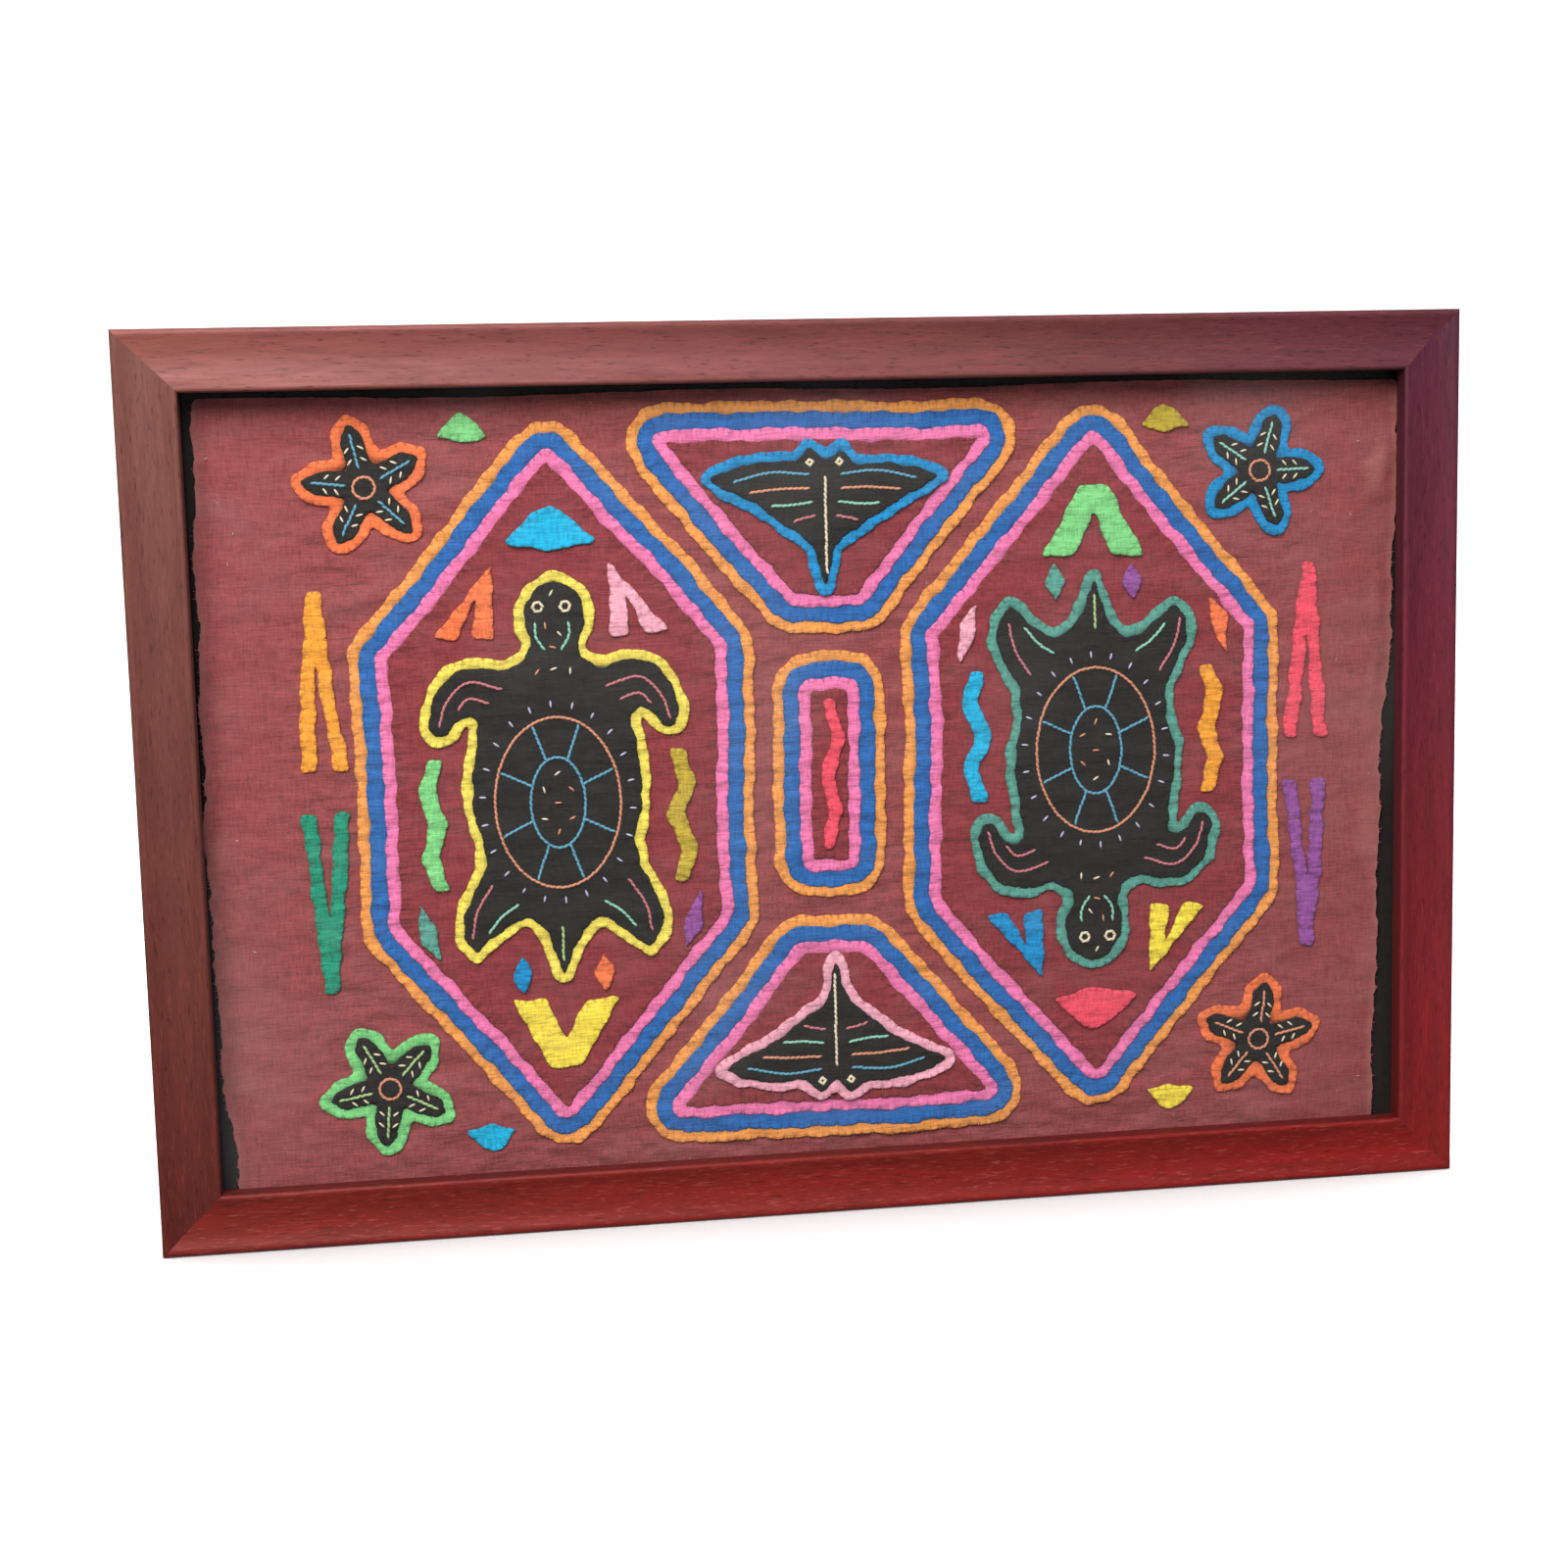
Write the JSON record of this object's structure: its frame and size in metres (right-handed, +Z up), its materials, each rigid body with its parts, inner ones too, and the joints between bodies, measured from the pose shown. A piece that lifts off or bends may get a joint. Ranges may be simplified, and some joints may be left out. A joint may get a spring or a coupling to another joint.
{
  "type": "mola panel in a wooden frame",
  "caption": "Rectangular wall panel: layered cotton pieces sewn on a red ground cloth, on a black board behind glass, in a mitred wooden frame with a scooped face.",
  "frame": {"origin": "middle of the top rail's back face, where the frame hangs against the wall", "axes": "+X right along the long side as seen from the front, +Y into the wall, +Z up; the glazed face looks along -Y"},
  "size_m": [0.5, 0.022, 0.337],
  "materials": {
    "field_wine": "plain-woven cotton, matt",
    "blue": "plain-woven cotton, matt",
    "orange": "plain-woven cotton, matt",
    "pink": "plain-woven cotton, matt",
    "mahogany": "satin varnish over reddish mahogany stain",
    "black": "plain-woven cotton, matt",
    "rose": "plain-woven cotton, matt",
    "red": "plain-woven cotton, matt",
    "glass": "clear, polished",
    "wine": "plain-woven cotton, matt",
    "leaf": "plain-woven cotton, matt",
    "turquoise": "plain-woven cotton, matt",
    "mustard": "plain-woven cotton, matt",
    "golden": "plain-woven cotton, matt",
    "yellow": "plain-woven cotton, matt",
    "emerald": "plain-woven cotton, matt",
    "amber": "plain-woven cotton, matt",
    "coral": "plain-woven cotton, matt",
    "black_board": "matt black",
    "teal": "plain-woven cotton, matt",
    "purple": "plain-woven cotton, matt",
    "sky": "plain-woven cotton, matt"
  },
  "bodies": {
    "root": {"bottom_field": "field_wine", "bottom_field_blue_band": "blue", "bottom_field_orange_band": "orange", "bottom_field_pink_band": "pink", "bottom_rail": "mahogany", "bottom_ray": "black", "bottom_ray_outline": "rose", "centre_bar": "field_wine", "centre_bar_blue_band": "blue", "centre_bar_orange_band": "orange", "centre_bar_pink_band": "pink", "centre_bolt_filler": "red", "glazing": "glass", "ground_cloth": "wine", "left_far_bolt_filler": "leaf", "left_field": "field_wine", "left_field_blue_band": "blue", "left_field_orange_band": "orange", "left_field_pink_band": "pink", "left_head_sliver_filler": "turquoise", "left_near_bolt_filler": "mustard", "left_rail": "mahogany", "left_tail_wedge_filler": "golden", "left_turtle": "black", "left_turtle_outline": "yellow", "left_wedge_down_filler": "emerald", "left_wedge_up_filler": "amber", "low_left_sliver_filler": "turquoise", "low_left_star": "black", "low_left_star_outline": "leaf", "low_right_sliver_filler": "golden", "low_right_star": "black", "low_right_star_outline": "coral", "mount_board": "black_board", "right_far_bolt_filler": "amber", "right_field": "field_wine", "right_field_blue_band": "blue", "right_field_orange_band": "orange", "right_field_pink_band": "pink", "right_head_sliver_filler": "red", "right_near_bolt_filler": "turquoise", "right_rail": "mahogany", "right_tail_wedge_filler": "leaf", "right_turtle": "black", "right_turtle_outline": "teal", "right_wedge_down_filler": "purple", "right_wedge_up_filler": "red", "top_field": "field_wine", "top_field_blue_band": "blue", "top_field_orange_band": "orange", "top_field_pink_band": "pink", "top_left_sliver_filler": "leaf", "top_left_star": "black", "top_left_star_outline": "coral", "top_rail": "mahogany", "top_ray": "black", "top_ray_outline": "sky", "top_right_sliver_filler": "mustard", "top_right_star": "black", "top_right_star_outline": "sky"}
  },
  "joints": []
}
